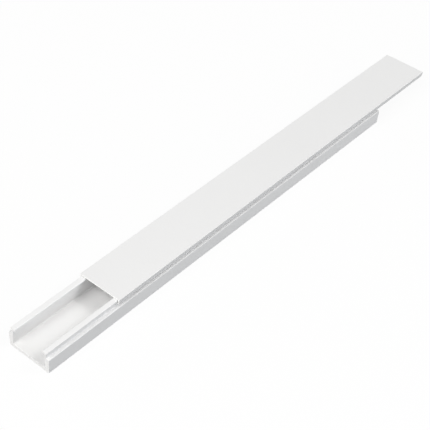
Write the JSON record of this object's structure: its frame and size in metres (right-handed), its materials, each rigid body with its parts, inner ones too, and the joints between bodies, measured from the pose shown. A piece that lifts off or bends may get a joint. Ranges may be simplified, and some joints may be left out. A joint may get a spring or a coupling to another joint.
{
  "type": "cord cover raceway",
  "caption": "Straight length of surface raceway for cords: an open base channel with hooked lips and a flat clip-on lid that slides along it.",
  "frame": {"origin": "centre of the base channel's flat back face", "axes": "+X along the raceway towards the end where the lid is drawn out, +Z away from the wall or floor that the back lies on, +Y across"},
  "size_m": [0.2934, 0.025, 0.0126],
  "materials": {
    "white_pvc": "white rigid PVC, satin as extruded, sawn ends"
  },
  "bodies": {
    "base": {"base_channel": "white_pvc"},
    "lid": {"clip_on_lid": "white_pvc"}
  },
  "joints": [
    {"name": "lid_slide", "type": "slide", "parent": "base", "child": "lid", "axis": [1, 0, 0], "range_m": [-0.0434, 0.1866]}
  ]
}
